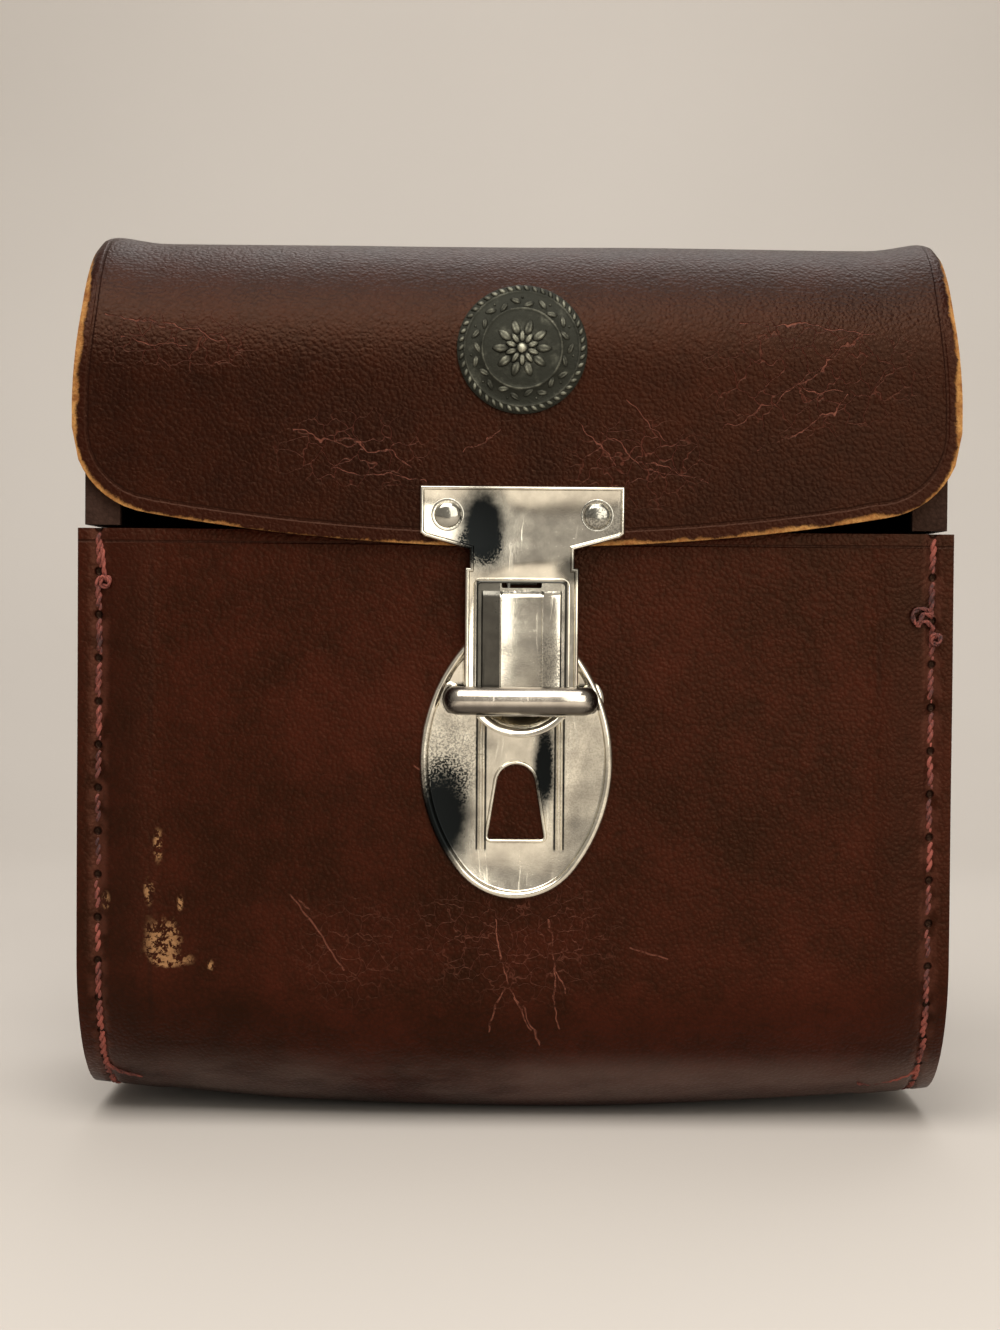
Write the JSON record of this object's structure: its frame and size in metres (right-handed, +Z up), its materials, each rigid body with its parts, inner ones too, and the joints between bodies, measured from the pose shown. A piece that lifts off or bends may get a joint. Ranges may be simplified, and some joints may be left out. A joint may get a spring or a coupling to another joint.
{
  "type": "binocular hard case",
  "caption": "Upright box case of stitched saddle leather with a domed hinged lid, a flap over the front and a spring hasp that snaps under a staple on an oval plate.",
  "frame": {"origin": "centre of the bounding box in X and Y, on the floor under the case", "axes": "+Z up, the front with the latch towards -Y, +X to the right seen from the front"},
  "size_m": [0.1764, 0.1002, 0.183],
  "materials": {
    "sheet_leather": "semi-gloss reddish brown, fine pebble grain, worn",
    "panel_leather": "semi-gloss reddish brown",
    "lid_end_leather": "dark, worn, half matt",
    "hinge_leather": "semi-gloss reddish brown",
    "loop_leather": "semi-gloss reddish brown",
    "felt": "matt felt",
    "pad_felt": "matt felt",
    "thread": "waxed linen thread, faded red",
    "nickel": "old nickel plate, bright with pitted and dull patches",
    "steel": "plain steel, dull",
    "pewter": "dark oxidised white metal"
  },
  "bodies": {
    "case": {"body_wrap": "sheet_leather", "side_panel_left": "panel_leather", "side_panel_right": "panel_leather", "seam_thread_left": "thread", "seam_thread_right": "thread", "body_lining": "felt", "side_lining_left": "felt", "side_lining_right": "felt", "base_pad": "pad_felt", "strike_plate": "nickel", "staple": "nickel", "staple_backing": "steel", "strap_loop_left": "loop_leather", "strap_loop_right": "loop_leather", "loop_rivets": "nickel", "loop_burrs": "steel", "hinge_leaf_body": "hinge_leather", "hinge_thread_body": "thread"},
    "lid": {"lid_sheet": "sheet_leather", "lid_end_left": "lid_end_leather", "lid_end_right": "lid_end_leather", "lid_lining": "felt", "hinge_leaf_lid": "hinge_leather", "hinge_thread_lid": "thread", "hasp_plate": "nickel", "hasp_rivets": "nickel", "hasp_burrs": "steel", "badge": "pewter", "tongue_pin": "steel", "tongue_spring": "steel"},
    "tongue": {"spring_tongue": "nickel"}
  },
  "joints": [
    {"name": "lid_hinge", "type": "hinge", "parent": "case", "child": "lid", "pos_m": [0, 0.04425, 0.12115], "axis": [-1, 0, 0], "range_deg": [0, 150]},
    {"name": "tongue_press", "type": "hinge", "parent": "lid", "child": "tongue", "pos_m": [0.0012, -0.04415, 0.1114], "axis": [1, 0, 0], "range_deg": [0, 2.3], "stiffness_Nm_per_rad": 3, "springref_deg": -1.15}
  ]
}
